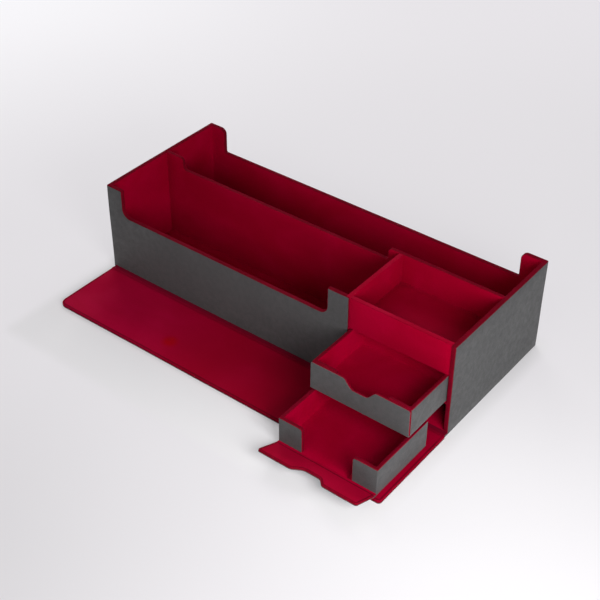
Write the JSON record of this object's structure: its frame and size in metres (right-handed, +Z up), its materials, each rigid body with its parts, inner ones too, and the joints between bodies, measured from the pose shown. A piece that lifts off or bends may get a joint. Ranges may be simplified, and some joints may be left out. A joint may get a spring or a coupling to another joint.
{
  "type": "trading card drawer box",
  "caption": "Covered board box for trading cards: open card bays, a dice tray, two small drawers with fold-down flaps, and a hinged front flap.",
  "frame": {"origin": "centre of the case's footprint, on the surface that it stands on", "axes": "+X along the case towards the drawers, +Y from the front flap to the back, +Z up"},
  "size_m": [0.415, 0.294, 0.1014],
  "materials": {
    "grey_cover": "soft matte grain",
    "crimson_lining": "microfibre suede",
    "board": "raw grey board",
    "magnet": "plated"
  },
  "bodies": {
    "case": {"base_cover": "grey_cover", "base_board": "board", "left_board": "board", "right_board": "board", "front_board": "board", "back_board": "board", "wall_cover": "grey_cover", "wall_lining": "crimson_lining", "floor_lining": "crimson_lining", "long_partition_board": "board", "long_partition_lining": "crimson_lining", "cross_partition_board": "board", "cross_partition_lining": "crimson_lining", "drawer_shelf_board": "board", "drawer_shelf_lining": "crimson_lining", "tray_floor_board": "board", "tray_floor_lining": "crimson_lining", "drawer_roof_lining": "crimson_lining", "tray_front_board": "board", "tray_front_lining": "crimson_lining", "case_magnets": "magnet", "front_flap_hinge": "crimson_lining"},
    "front_flap": {"front_flap_board": "board", "front_flap_cover": "grey_cover", "front_flap_lining": "crimson_lining", "front_flap_magnets": "magnet"},
    "lower_drawer": {"lower_drawer_floor_board": "board", "lower_drawer_left_board": "board", "lower_drawer_right_board": "board", "lower_drawer_back_board": "board", "lower_drawer_front_left_post": "board", "lower_drawer_front_right_post": "board", "lower_drawer_cover": "grey_cover", "lower_drawer_lining": "crimson_lining", "lower_drawer_post_magnets": "magnet", "lower_drawer_hinge": "grey_cover"},
    "lower_drawer_flap": {"lower_drawer_flap_board": "board", "lower_drawer_flap_cover": "grey_cover", "lower_drawer_flap_lining": "crimson_lining", "lower_drawer_flap_magnets": "magnet"},
    "upper_drawer": {"upper_drawer_floor_board": "board", "upper_drawer_left_board": "board", "upper_drawer_right_board": "board", "upper_drawer_back_board": "board", "upper_drawer_front_left_post": "board", "upper_drawer_front_right_post": "board", "upper_drawer_cover": "grey_cover", "upper_drawer_lining": "crimson_lining", "upper_drawer_post_magnets": "magnet", "upper_drawer_hinge": "grey_cover"},
    "upper_drawer_flap": {"upper_drawer_flap_board": "board", "upper_drawer_flap_cover": "grey_cover", "upper_drawer_flap_lining": "crimson_lining", "upper_drawer_flap_magnets": "magnet"}
  },
  "joints": [
    {"name": "front_flap_hinge", "type": "hinge", "parent": "case", "child": "front_flap", "pos_m": [0, -0.0853, 0.0006], "axis": [1, 0, 0], "range_deg": [0, 90]},
    {"name": "lower_drawer_slide", "type": "slide", "parent": "case", "child": "lower_drawer", "axis": [0, 1, 0], "range_m": [0, 0.106]},
    {"name": "upper_drawer_slide", "type": "slide", "parent": "case", "child": "upper_drawer", "axis": [0, 1, 0], "range_m": [-0.023, 0.058]},
    {"name": "lower_drawer_flap_hinge", "type": "hinge", "parent": "lower_drawer", "child": "lower_drawer_flap", "pos_m": [0.1491, -0.18635, 0.004], "axis": [1, 0, 0], "range_deg": [-66.5, 23.5]},
    {"name": "upper_drawer_flap_hinge", "type": "hinge", "parent": "upper_drawer", "child": "upper_drawer_flap", "pos_m": [0.1491, -0.13835, 0.0373], "axis": [1, 0, 0], "range_deg": [0, 90]}
  ]
}
